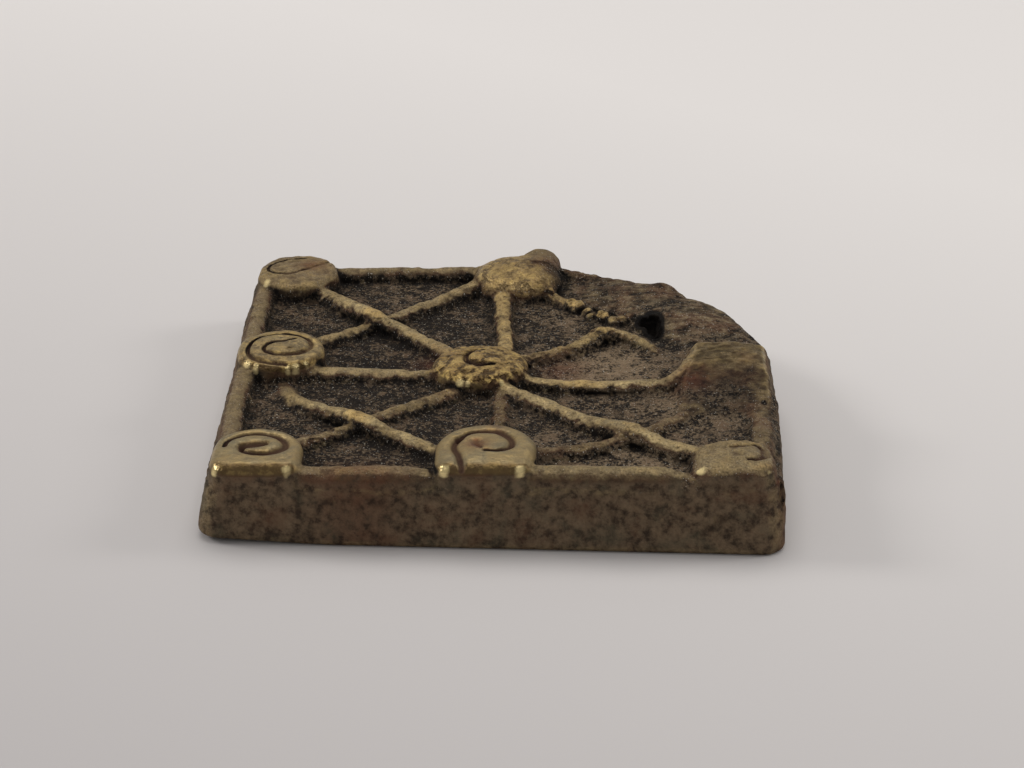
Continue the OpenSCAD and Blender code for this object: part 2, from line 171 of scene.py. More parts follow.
def wall(p):
    """Distance to the leaning walls, with rounded corners in plan."""
    above = p[:, 2] - KINK_Z
    z = 0.5 * (above + np.sqrt(above ** 2 + KINK_SOFT))
    left = -p[:, 0] - PLATE_W / 2 + z * LEAN_LEFT
    right = p[:, 0] - PLATE_W / 2 + z * LEAN_RIGHT
    front = -p[:, 1] - PLATE_D / 2 + z * LEAN_ENDS
    back = p[:, 1] - PLATE_D / 2 + z * LEAN_ENDS
    d = rounded_max(right, back, SWELL_R)
    bearing = np.degrees(np.arctan2(p[:, 1] - SWELL_Y, p[:, 0] - SWELL_X))
    d = d + np.interp(bearing, INSET_AT, INSET_BY) * smooth(1.0, 4.2, p[:, 2])
    d = rounded_max(d, left, CORNER_LEFT)
    return rounded_max(d, front, CORNER_FRONT) + WALL_INSET


def sunk_wall(p, h):
    """The walls, drawn in below the field so that what they cut fades into the plate."""
    return wall(p) + WALL_SUNK * smooth(0.3, -0.9, h)


def pit_shape(p):
    """Gas pit."""
    h = (rise(p) - PIT_H) / PIT_DEEP
    d = np.full(len(p), 9.0)
    for x, y, rx, ry in PIT:
        dx, dy = (p[:, 0] - x) / rx, (p[:, 1] - y) / ry
        d = np.minimum(d, np.sqrt(dx ** 2 + dy ** 2 + h * h) - 1.0)
    return d * 0.55


def plate_shape(p):
    """Slab with leaning walls and a sloping top, with its slot and pit cut out."""
    h = rise(p)
    lift = FRONT_LIFT * smooth(-9, -18, p[:, 0]) * smooth(-10, -17, p[:, 1])
    # The top edge is rounder at the unfilled corner
    top_r = 0.3 + 0.7 * smooth(4, 9, p[:, 0]) * smooth(4, 9, p[:, 1])
    d = rounded_max(rounded_max(wall(p), lift - p[:, 2], EDGE_R), h, top_r)
    slot = np.sqrt((((p - SLOT_AT) / SLOT_SIZE) ** 2).sum(axis=1)) - 1.0
    return np.maximum(np.maximum(d, -0.4 * slot), -pit_shape(p))


def groove(x, y, path, depth):
    """Depth of a groove along a path of rows x, y, half width."""
    best = np.full(x.shape, 9.0)
    for a, b in zip(path[:-1], path[1:]):
        ex, ey = b[0] - a[0], b[1] - a[1]
        t = np.clip(((x - a[0]) * ex + (y - a[1]) * ey) / max(ex * ex + ey * ey, 1e-9), 0.0, 1.0)
        w = a[2] + t * (b[2] - a[2])
        best = np.minimum(best, np.hypot(x - a[0] - t * ex, y - a[1] - t * ey) / w)
    return depth * np.exp(-(best / GROOVE_SOFT) ** 2)


def boss_shape(x, y, r, top, crown, edge, grooves=(), front=False, squash=1.0, lip_r=0.62):
    """Round boss with a crowned top. A front boss runs straight out to the front wall."""
    def shape(p):
        dx = p[:, 0] - x
        dy = (p[:, 1] - y) / squash
        rho = np.hypot(dx, dy)
        if front:
            broad = (dx ** 4 + (0.84 * dy) ** 4) ** 0.25
            rho = np.where(dy < 0, broad + (rho - broad) * smooth(-0.8, 0.0, dy), rho)
        height = top - crown * np.minimum(rho / r, 1.2) ** 2
        for path, depth in grooves:
            height = height - groove(p[:, 0] - x, p[:, 1] - y, path, depth)
        h = rise(p)
        side = rho - r - BOSS_FLARE * np.maximum(top - h, 0.0)
        d = rounded_max(side, (h - height) * 0.95, edge)
        if front:
            lip = sunk_wall(p, h) - LIP_OUT * np.exp(-((h - LIP_H) / LIP_W) ** 2)
            d = rounded_max(d, lip, lip_r)
        else:
            d = rounded_max(d, sunk_wall(p, h) + 0.05, 0.3)
        return np.maximum(d, -h - BOSS_ROOT)
    return shape


def thread_shape(points):
    """Rolled thread through rows of x, y, crest height over the field and radius."""
    path = curve(points)

    def shape(p):
        x, y, h = p[:, 0], p[:, 1], rise(p)
        best = np.full(len(p), 9.0)
        for a, b in zip(path[:-1], path[1:]):
            dx, dy, dz = x - a[0], y - a[1], h - a[2] + a[3]
            rx, ry, rz = b[0] - a[0], b[1] - a[1], b[2] - b[3] - a[2] + a[3]
            t = np.clip((dx * rx + dy * ry + dz * rz) / (rx * rx + ry * ry + rz * rz), 0.0, 1.0)
            gap = np.sqrt((dx - t * rx) ** 2 + (dy - t * ry) ** 2 + (dz - t * rz) ** 2)
            best = np.minimum(best, gap - a[3] - t * (b[3] - a[3]))
        return best
    return shape


def within_wall(shape, edge, bulge=0.0):
    """The same shape, cut to the plate's walls, or a little outside them."""
    def cut(p):
        return rounded_max(shape(p), wall(p) - bulge, edge)
    return cut


def joined(*shapes):
    """Several shapes as one."""
    def shape(p):
        d = shapes[0](p)
        for other in shapes[1:]:
            d = np.minimum(d, other(p))
        return d
    return shape


def lump(x, y, h, r):
    """Drop of metal."""
    def shape(p):
        return np.sqrt((p[:, 0] - x) ** 2 + (p[:, 1] - y) ** 2 + (rise(p) - h) ** 2) - r
    return shape


def swell_shape(p):
    """Run-together metal along the unfilled corner."""
    dx, dy = p[:, 0] - SWELL_X, p[:, 1] - SWELL_Y
    rho = np.hypot(dx, dy)
    turn = np.degrees(np.arctan2(dy, dx))
    inner = SWELL_IN + 0.5 * np.sin(np.radians(turn * 7.0))
    across = np.clip((rho - inner) / (SWELL_OUT - inner), 0.0, 1.0)
    height = SWELL_H * np.sin(np.pi * across ** 0.85)
    height = height * smooth(88, 58, turn) * (0.22 + 0.78 * smooth(10, 32, turn)) * smooth(-14, 2, turn)
    height = height + 0.3 * np.exp(-((turn - 54) / 4.0) ** 2 - ((rho - 14.4) / 0.8) ** 2)
    height = height - DIVE * smooth(0.15, 0.0, height)
    h = rise(p)
    d = rounded_max((h - height) * 0.85, sunk_wall(p, h), 1.0)
    return np.maximum(np.maximum(d, -h - 1.0), -pit_shape(p))


# Thread that edges the hump, in rows as for thread_shape
HUMP_RIDGE = [(11.2, -2.3, 0.8, 0.55), (11.85, -1.5, 1.05, 0.58), (12.3, -0.4, 1.3, 0.6),
              (13.0, 0.7, 1.43, 0.6), (14.7, 1.35, 1.42, 0.55), (16.4, 1.2, 1.3, 0.5)]


def hump_fill(p):
    """The boss at the right edge, smeared forward, with a steep back and left side."""
    x, y, h = p[:, 0], p[:, 1], rise(p)
    edge_x = 12.2 - 0.6 * smooth(0.6, -3.0, y)
    height = HUMP_H * smooth(-7.8, 0.8, y) ** 0.85 * smooth(2.6, 1.6, y)
    height = height * smooth(edge_x - 0.7, edge_x + 0.5, x) * (1.0 - 0.15 * smooth(14.5, 17.5, x))
    height = height - DIVE * smooth(0.15, 0.0, height)
    d = rounded_max((h - height) * 0.7, sunk_wall(p, h), 0.7)
    return np.maximum(d, -h - 1.0)


def gate_shape(p):
    """Stub on the back wall."""
    d = np.sqrt((p[:, 0] - GATE_X) ** 2 + (p[:, 2] - GATE_Z) ** 2) - GATE_R
    d = rounded_max(d, p[:, 1] - GATE_TO, GATE_EDGE)
    return np.maximum(d, GATE_FROM - p[:, 1])


class Piece:
    """One named piece: its shape, its box and how rough, rubbed, ochre and streaked it is."""

    def __init__(self, name, shape, box, rough=1.0, shine=0.9, ochre=0.2, flank=0.15, streak=0.0,
                 step=FINE, floor=2.2, top=6.6):
        self.name = name
        self.shape = shape
        self.lo = np.array([box[0], box[1], floor])
        self.hi = np.array([box[2], box[3], top])
        self.rough = rough
        self.shine = shine
        self.ochre = ochre
        self.flank = flank
        self.streak = streak
        self.step = step
        # Line that a thread follows and how far off it counts, and the depth of a boss's grooves
        self.chord = None
        self.mark = None

    def near(self, p):
        """Points that this piece has an influence on."""
        x, y, z = p[:, 0], p[:, 1], p[:, 2]
        lo, hi = self.lo - REACH, self.hi + REACH
        found = (x > lo[0]) & (x < hi[0]) & (y > lo[1]) & (y < hi[1]) & (z > lo[2]) & (z < hi[2])
        if self.chord is not None:
            a, b, reach = self.chord
            run = b - a
            off = np.abs((x - a[0]) * run[1] - (y - a[1]) * run[0]) / np.hypot(run[0], run[1])
            found &= off < reach
        return found


def boss_piece(name, x, y, r, *args, **kw):
    """Boss, with its grooves kept as a mark for the material."""
    look = {k: kw.pop(k) for k in ("rough", "shine", "ochre", "flank") if k in kw}
    half = r + BOSS_PAD
    box = (x - half, y - half, x + half, y + half)
    piece = Piece(name, boss_shape(x, y, r, *args, **kw), box, step=FINE * 0.8, **look)
    grooves = kw.get("grooves", ())
    piece.mark = lambda p: sum((groove(p[:, 0] - x, p[:, 1] - y, path, min(depth / FULL_GROOVE, 1.0))
                                for path, depth in grooves), np.zeros(len(p)))
    return piece


def thread_piece(name, points, extra=(), edge=None, bulge=0.0, grow=(0.0, 0.0), **look):
    """Thread, with extra drops of metal. Grow widens its box to the right and the front for them."""
    rows = np.array(points)
    shape = thread_shape(points)
    if extra:
        shape = joined(shape, *extra)
    if edge is not None:
        shape = within_wall(shape, edge, bulge)
    box = (rows[:, 0].min() - THREAD_PAD, rows[:, 1].min() - THREAD_PAD - grow[1],
           rows[:, 0].max() + THREAD_PAD + grow[0], rows[:, 1].max() + THREAD_PAD)
    piece = Piece(name, shape, box, **look)
    a, b = rows[0, :2], rows[-1, :2]
    run = b - a
    off = np.abs((rows[:, 0] - a[0]) * run[1] - (rows[:, 1] - a[1]) * run[0])
    off = off / np.hypot(run[0], run[1])
    piece.chord = (a, b, off.max() + THREAD_REACH)
    return piece


# Bosses have x, y, radius, top, crown and edge, and grooves in rows of x, y and half width from the centre.
# Threads have rows of x, y, crest height and radius
PIECES = [
    Piece("base_plate", plate_shape, (-18.4, -17.4, 18.4, 17.4), shine=0.1, ochre=0.1, step=COARSE,
          floor=-0.5, top=5.2),

    boss_piece("boss_front_left", -14.45, -13.9, 2.8, 1.6, 0.16, 0.42, front=True, rough=0.4, shine=1.0,
               grooves=[(curve([(-1.95, 0.1, 0.16), (-1.75, 0.95, 0.24), (-0.8, 1.75, 0.34),
                                (0.5, 1.8, 0.38), (1.55, 1.1, 0.44), (1.75, 0.1, 0.5), (1.1, -0.75, 0.44),
                                (0.1, -1.0, 0.3), (-0.75, -0.6, 0.28), (-0.9, 0.05, 0.3)]), 0.3),
                        (curve([(-0.75, 0.15, 0.5), (-0.1, 0.3, 0.62), (0.5, 0.42, 0.42)]), 0.32)]),
    boss_piece("boss_front_middle", -0.4, -13.45, 3.0, 1.6, 0.18, 0.48, front=True, rough=0.4, shine=1.0,
               grooves=[(curve([(-1.35, -3.0, 0.36), (-1.6, -1.6, 0.4), (-1.95, -0.3, 0.4),
                                (-1.7, 0.7, 0.4)]), 0.3),
                        (curve([(-1.7, 0.7, 0.3), (-1.1, 1.4, 0.26), (-0.4, 1.7, 0.4), (0.7, 1.6, 0.46),
                                (1.5, 0.7, 0.44), (1.5, -0.4, 0.36), (0.8, -1.05, 0.22),
                                (0.0, -1.0, 0.2)]), 0.28),
                        (curve([(-0.3, -0.6, 0.2), (-0.55, -0.1, 0.36), (-0.6, 0.3, 0.42)]), 0.16)]),
    boss_piece("boss_front_right", 14.8, -14.2, 2.6, 1.42, 0.4, 0.8, front=True, rough=1.1, shine=0.78,
               lip_r=1.0,
               grooves=[(curve([(1.2, 1.3, 0.3), (1.75, 0.8, 0.5), (1.8, 0.0, 0.55), (1.4, -0.7, 0.42),
                                (0.8, -0.9, 0.22)]), 0.34),
                        (curve([(-0.2, 0.8, 0.3), (0.3, 0.95, 0.42), (0.8, 1.0, 0.3)]), 0.3)]),
    boss_piece("boss_left_middle", -14.45, 1.0, 2.85, 1.6, 0.14, 0.4, rough=0.8, shine=1.0, ochre=0.5,
               flank=0.45,
               grooves=[(curve([(0.6, -2.5, 0.26), (-0.7, -2.25, 0.32), (-1.7, -1.5, 0.3),
                                (-2.05, -0.2, 0.18), (-1.6, 1.2, 0.14), (-0.4, 2.0, 0.18),
                                (0.9, 1.85, 0.2), (1.85, 1.05, 0.3), (2.0, 0.0, 0.36),
                                (1.3, -0.95, 0.32), (0.2, -1.2, 0.3), (-0.8, -0.75, 0.24),
                                (-1.0, 0.05, 0.18), (-0.55, 0.6, 0.15), (0.3, 0.9, 0.14),
                                (0.95, 1.2, 0.14)]), 0.22)]),
    boss_piece("boss_centre", -1.33, -0.9, 3.05, 1.68, 0.45, 0.55, rough=1.1, shine=1.0, ochre=1.0,
               squash=0.92, flank=0.55,
               grooves=[(curve([(0.15, 1.25, 0.22), (-0.45, 1.3, 0.3), (-0.9, 0.5, 0.34),
                                (-0.75, -0.5, 0.3), (-0.1, -0.9, 0.34), (0.5, -0.85, 0.22),
                                (0.9, -0.75, 0.16)]), 0.34)]),
    Piece("boss_right_middle", within_wall(joined(hump_fill, thread_shape(HUMP_RIDGE)), 0.7),
          (10.4, -7.9, 18.4, 3.2), rough=1.05, shine=1.0, ochre=0.35, streak=0.35),
    boss_piece("boss_back_left", -14.5, 14.0, 2.7, 1.55, 0.2, 0.42, rough=0.9, shine=0.72, ochre=0.3,
               flank=0.65,
               grooves=[(curve([(2.2, 1.5, 0.22), (1.5, 0.75, 0.26), (0.5, -0.2, 0.24),
                                (-0.35, -0.75, 0.26), (-1.5, -0.55, 0.16), (-2.0, 0.1, 0.12),
                                (-1.7, 1.0, 0.12), (-0.7, 1.7, 0.12), (0.4, 1.8, 0.12)]), 0.14)]),
    boss_piece("boss_back_middle", 0.55, 13.95, 2.9, 1.82, 0.6, 0.8, rough=1.0, shine=0.9, ochre=0.75,
               flank=0.7),

    thread_piece("rim_front_left", [(-11.3, -15.9, 1.0, 0.74), (-8.0, -15.95, 1.08, 0.8),
                                    (-4.6, -15.95, 1.0, 0.76), (-3.6, -15.9, 0.72, 0.58)],
                 edge=0.35, bulge=0.16, shine=0.74, flank=0.55),
    thread_piece("rim_front_right", [(3.0, -15.8, 1.12, 0.84), (7.0, -15.85, 1.1, 0.85),
                                     (10.3, -15.9, 0.95, 0.78), (11.9, -15.9, 0.45, 0.6)],
                 edge=0.35, bulge=0.14, shine=0.8, flank=0.6),
    thread_piece("rim_left_front", [(-16.4, -12.2, 0.95, 0.75), (-16.6, -6.5, 0.85, 0.72),
                                    (-16.5, -1.2, 0.95, 0.75)], edge=0.35, flank=0.4, shine=0.66),
    thread_piece("rim_left_back", [(-16.5, 3.0, 0.95, 0.75), (-16.65, 8.0, 0.85, 0.72),
                                   (-16.5, 12.2, 0.95, 0.75)], edge=0.35, flank=0.4, shine=0.66),
    thread_piece("rim_back_left", [(-12.6, 15.3, 0.9, 0.62), (-7.0, 15.3, 0.85, 0.58),
                                   (-1.2, 15.3, 0.95, 0.62)], edge=0.35, flank=0.0, shine=0.62),
    thread_piece("rim_back_right", [(2.4, 15.6, 0.9, 0.7), (4.2, 15.2, 0.5, 0.65), (6.2, 14.5, 0.45, 0.6),
                                    (7.9, 13.7, 0.42, 0.6), (9.0, 12.9, 0.1, 0.5)],
                 edge=0.4, rough=1.7, shine=0.5),
    thread_piece("rim_right_front", [(16.5, -12.2, 0.95, 0.75), (16.6, -9.5, 0.75, 0.75),
                                     (16.5, -7.0, 0.5, 0.75), (16.2, -4.5, 0.35, 0.7)],
                 edge=0.35, flank=0.4, shine=0.52),

    thread_piece("arm_left", [(-12.4, -0.75, 0.72, 0.66), (-8.0, -1.0, 0.68, 0.62),
                              (-3.6, -1.25, 0.72, 0.68)], rough=1.1, shine=0.8),
    thread_piece("arm_right", [(1.2, -1.7, 0.75, 0.68), (4.5, -2.7, 0.7, 0.62), (9.0, -2.6, 0.7, 0.62),
                               (11.0, -2.3, 0.8, 0.6), (11.9, -1.4, 1.05, 0.58)], rough=1.2),
    thread_piece("arm_front", [(0.1, -3.6, 0.5, 0.62), (0.2, -7.5, 0.45, 0.6), (0.2, -11.4, 0.5, 0.62)],
                 rough=1.4, shine=0.55),
    thread_piece("arm_back", [(-0.3, 11.8, 0.9, 0.75), (-0.2, 8.0, 0.65, 0.62), (0.1, 4.5, 0.62, 0.6),
                              (0.15, 1.4, 0.75, 0.66)], rough=1.2, ochre=0.55),
    thread_piece("under_thread_front_left", [(-13.0, -12.0, 0.7, 0.65), (-8.6, -8.45, 0.6, 0.62),
                                             (-3.0, -3.9, 0.7, 0.66)], rough=1.3, shine=0.66),
    thread_piece("over_thread_front_left", [(-13.9, -2.2, 0.2, 0.8), (-13.5, -3.5, 0.2, 0.75),
                                            (-12.9, -4.8, 0.5, 0.66), (-11.2, -6.3, 0.8, 0.64),
                                            (-8.6, -8.5, 1.22, 0.64), (-5.8, -10.7, 0.85, 0.62),
                                            (-2.6, -13.0, 0.65, 0.64)], rough=1.2),
    thread_piece("under_thread_back_left", [(-13.0, 3.3, 0.7, 0.65), (-8.9, 6.9, 0.6, 0.62),
                                            (-5.3, 10.0, 0.7, 0.62), (-1.8, 13.5, 0.9, 0.7)],
                 rough=1.3, shine=0.78),
    thread_piece("over_thread_back_left", [(-13.0, 12.4, 0.8, 0.66), (-10.8, 9.9, 0.9, 0.64),
                                           (-8.7, 7.35, 1.2, 0.64), (-6.0, 4.8, 0.85, 0.62),
                                           (-3.0, 1.6, 0.75, 0.66)], rough=1.2),
    thread_piece("under_thread_front_right", [(1.4, -12.9, 0.7, 0.66), (3.4, -12.45, 0.65, 0.62),
                                              (6.2, -11.7, 0.62, 0.6), (9.3, -9.5, 0.55, 0.6),
                                              (12.3, -6.2, 0.35, 0.55), (13.3, -4.9, 0.1, 0.5)],
                 rough=1.3, shine=0.6),
    thread_piece("over_thread_front_right", [(0.6, -3.6, 0.8, 0.66), (3.3, -5.9, 0.75, 0.66),
                                             (6.0, -8.6, 0.9, 0.7), (8.4, -10.1, 1.15, 0.72),
                                             (10.8, -11.9, 0.9, 0.66), (13.0, -13.2, 0.95, 0.66)],
                 rough=1.2),
    thread_piece("broken_thread_centre", [(0.6, 0.7, 0.75, 0.66), (3.6, 2.3, 0.7, 0.62),
                                          (5.4, 3.7, 0.85, 0.62), (6.5, 5.0, 1.05, 0.68),
                                          (8.0, 4.85, 0.7, 0.46), (9.3, 4.0, 0.5, 0.4),
                                          (9.9, 2.9, 0.25, 0.36)], rough=1.6, shine=0.72, ochre=0.4),
    thread_piece("broken_thread_back", [(2.2, 12.6, 0.8, 0.68), (3.2, 11.5, 0.6, 0.55),
                                        (3.9, 10.7, 0.4, 0.5)],
                 extra=(lump(4.75, 9.75, 0.2, 0.5), lump(4.3, 10.3, 0.25, 0.42), lump(5.5, 9.1, 0.1, 0.45),
                        lump(5.75, 8.45, 0.1, 0.4), lump(6.4, 8.2, 0.15, 0.5), lump(7.1, 7.7, 0.05, 0.4),
                        lump(7.7, 7.6, 0.1, 0.4), lump(8.4, 7.9, 0.15, 0.45)),
                 grow=(4.2, 2.8), rough=1.6, ochre=0.7),
    Piece("corner_swell", swell_shape, (2.0, 1.0, 18.4, 17.4), rough=0.8, shine=0.45, ochre=0.1, streak=1.0,
          step=FINE * 1.25),
    Piece("gate_stub", gate_shape, (0.1, 14.3, 3.9, 17.7), rough=0.6, shine=0.6, ochre=0.15),
]
NAMES = [piece.name for piece in PIECES]


def survey(p, own=None):
    """Looks at points p. Gives the joined distance, the distance past the border of piece own,
    and the mixed roughness, shine, ochre, side wear and streaks of the pieces near each point."""
    n = len(p)
    total = np.full(n, EMPTY)
    best = np.full(n, FAR)
    mine = np.full(n, FAR)
    others = np.full(n, FAR)
    mix = np.zeros((n, 6))
    for k, piece in enumerate(PIECES):
        near = np.flatnonzero(piece.near(p))
        if not len(near):
            continue
        d = piece.shape(p[near])
        total[near] = np.logaddexp(total[near], -d / BLEND)
        best[near] = np.minimum(best[near], d)
        if k == own:
            mine[near] = d
        else:
            others[near] = np.minimum(others[near], d)
        w = np.exp(-np.clip(d, -3.0, 3.0) / MIX_SOFT)
        look = np.array([1.0, piece.rough, piece.shine, piece.ochre, piece.flank, piece.streak])
        mix[near] += w[:, None] * look
    joined_d = np.where(total < FAINT, best, -BLEND * total)
    mix = mix[:, 1:] / np.maximum(mix[:, :1], 1e-9)
    skin = np.abs(joined_d) < SKIN
    if skin.any():
        # Cast roughness in waves of several sizes, which leaves the underside flat
        q = p[skin]
        rough, streak = mix[skin, 0], mix[skin, 4]
        shake = 0.07 * noise(q, 2.6, 1) + 0.055 * noise(q, 1.1, 2) + 0.045 * noise(q, 0.42, 3)
        pits = 0.05 * smooth(0.5, 0.85, noise(q, 0.6, 4))
        pits = pits + 0.05 * np.maximum(rough - 0.8, 0.0) * noise(q, 0.25, 5)
        lines = 0.05 * streak * noise(q * np.array([0.3, 1.0, 1.0]), 0.4, 6)
        keep = smooth(0.45, 2.6, q[:, 2])
        joined_d[skin] += (rough * (shake + pits) + lines) * keep
    return joined_d, 0.5 * (mine - others), mix


def piece_value(p, own):
    """Distance for one piece, which dips under its neighbours past its own border."""
    d, past, _ = survey(p, own)
    return np.maximum(d + BORDER_DIP * np.maximum(past, 0.0), past - BORDER_END)


def gradient(p, value, step=0.04):
    """Value at each point and its slope in the three directions."""
    here = value(p)
    slopes = []
    for k in range(3):
        shift = np.zeros(3)
        shift[k] = step
        slopes.append((value(p + shift) - here) / step)
    return here, np.column_stack(slopes)


def surface(values, origin, step):
    """Quads of the zero surface of a grid of values, one vertex in each cell that it crosses."""
    inside = values < 0
    shape = np.array(values.shape) - 1
    corners = [(i, j, k) for i in (0, 1) for j in (0, 1) for k in (0, 1)]

    def part(array, c):
        return array[c[0]:c[0] + shape[0], c[1]:c[1] + shape[1], c[2]:c[2] + shape[2]]
    count = sum(part(inside, c).astype(np.int8) for c in corners)
    live = (count > 0) & (count < 8)
    ids = np.full(tuple(shape), -1, dtype=np.int64)
    ids[live] = np.arange(int(live.sum()))
    place = np.zeros((int(live.sum()), 3))
    hits = np.zeros(len(place))
    for a in corners:
        for axis in range(3):
            if a[axis]:
                continue
            b = list(a)
            b[axis] = 1
            va = part(values, a)[live]
            vb = part(values, b)[live]
            cross = (va < 0) != (vb < 0)
            t = np.where(cross, va / np.where(cross, va - vb, 1.0), 0.0)
            point = np.array(a, dtype=float) + t[:, None] * (np.array(b) - np.array(a))
            place[cross] += point[cross]
            hits[cross] += 1
    cells = np.argwhere(live)
    verts = origin + step * (cells + place / np.maximum(hits, 1)[:, None])
    quads = []
    for axis in range(3):
        u, v = (axis + 1) % 3, (axis + 2) % 3
        lo = [slice(None)] * 3
        hi = [slice(None)] * 3
        lo[axis] = slice(0, -1)
        hi[axis] = slice(1, None)
        start, end = inside[tuple(lo)], inside[tuple(hi)]
        at = np.argwhere(start != end)
        at = at[(at[:, u] > 0) & (at[:, v] > 0) & (at[:, u] < shape[u]) & (at[:, v] < shape[v])]
        ring = []
        for du, dv in ((-1, -1), (0, -1), (0, 0), (-1, 0)):
            cell = at.copy()
            cell[:, u] += du
            cell[:, v] += dv
            ring.append(ids[cell[:, 0], cell[:, 1], cell[:, 2]])
        face = np.column_stack(ring)
        flip = ~start[at[:, 0], at[:, 1], at[:, 2]]
        face[flip] = face[flip][:, ::-1]
        quads.append(face)
    return verts, np.vstack(quads)


def merged_underside(verts, quads):
    """Faces with the flat quads of the underside made one, and the points that are still in use."""
    flat = (verts[quads][:, :, 2] < FLAT_Z).all(axis=1)
    edges = set()
    for quad in quads[flat].tolist():
        edges.update(zip(quad, quad[1:] + quad[:1]))
    border = [(a, b) for a, b in edges if (b, a) not in edges]
    after = dict(border)
    loop = [border[0][0]]
    while after[loop[-1]] != loop[0]:
        loop.append(after[loop[-1]])
    if len(loop) != len(border):
        return verts, quads.tolist()
    kept = quads[~flat]
    used, index = np.unique(np.concatenate([kept.ravel(), loop]), return_inverse=True)
    faces = index[:kept.size].reshape(-1, 4).tolist()
    faces.append(index[kept.size:].tolist())
    return verts[used], faces


# Soft patches in plan: x, y, radius and strength
DUST = [(6.5, 0.6, 4.5, 1.0), (5.0, 9.5, 3.0, 0.5), (12.0, -5.5, 4.0, 0.7), (9.0, -13.0, 4.5, 0.7),
        (14.0, 8.0, 5.0, 0.35), (3.0, -9.5, 3.0, 0.3), (-6.5, 13.0, 3.0, 0.25)]
# Ochre tint, and the painted highlights where threads cross
OCHRE_AND_HIGHLIGHT = [(-8.6, -8.5, 1.3, 0.8), (-8.7, 7.4, 1.3, 0.7), (8.4, -10.1, 1.2, 0.5), (5.2, -2.8, 2.2, 0.6),
        (6.2, 4.9, 1.4, 0.8), (3.9, 2.6, 1.0, 0.7), (-9.0, -16.3, 0.7, 0.9), (-3.4, -4.3, 1.0, 0.6),
        (4.3, 10.3, 2.4, 0.8), (0.0, 6.5, 3.0, 0.4), (6.4, 8.3, 1.4, 0.8)]
# Painted shade patches: in the pit, behind the hump and on its front slope
SHADE_PATCHES = [(14.3, -4.6, 2.2, 0.75), (12.4, -4.2, 1.8, 0.7), (16.0, -2.0, 0.9, 0.5), (9.8, 8.6, 1.6, 0.6),
         (3.2, 14.0, 1.6, 0.7), (13.5, 4.2, 2.0, 0.6), (9.4, 7.4, 1.3, 0.9)]
RED = [(12.5, -2.7, 1.2, 1.0), (-1.0, -13.6, 0.65, 1.0), (-8.0, -16.4, 2.5, 0.5), (4.0, 0.4, 1.5, 0.5),
       (-13.4, 14.6, 1.0, 0.6), (-4.5, 1.2, 1.2, 0.4), (0.3, -10.5, 0.9, 0.6), (15.8, -0.4, 0.8, 0.3),
       (17.5, -15.8, 0.45, 1.0)]
# Spots of painted highlight on the corners and fronts of the boss lips
HIGHLIGHT_SPOTS = [(-16.85, -16.3, 0.36, 1.0), (-12.35, -16.4, 0.3, 1.0), (-2.8, -16.4, 0.34, 1.0),
         (1.8, -16.4, 0.32, 1.0), (12.65, -16.1, 0.34, 1.0), (17.0, -16.2, 0.3, 1.0),
         (-16.3, -1.1, 0.3, 0.9), (-15.75, -1.5, 0.22, 0.8), (-13.7, -1.7, 0.2, 0.7),
         (-13.2, -1.5, 0.28, 0.9), (-12.6, -1.1, 0.2, 0.7), (-2.5, -3.5, 0.26, 0.9),
         (-2.0, -3.6, 0.18, 0.7), (0.2, -3.4, 0.22, 0.7), (-16.4, 12.2, 0.3, 0.9), (-4.6, 9.4, 0.3, 0.6)]
# How far the probes for hollows, basins, ridges and crests reach along the normal
HOLLOW, BASIN, RIDGE, CREST = 0.35, 1.0, 0.6, 1.0
# Room round a piece's grid, how far from the skin its values are worked out, and from what height up
MARGIN, BAND, SOLE = 0.35, 0.5, 0.5


def spots(p, patches):
    """Strongest of the patches at each point."""
    total = np.zeros(len(p))
    for x, y, r, amount in patches:
        total = np.maximum(total, amount * np.exp(-((p[:, 0] - x) ** 2 + (p[:, 1] - y) ** 2) / r ** 2))
    return total


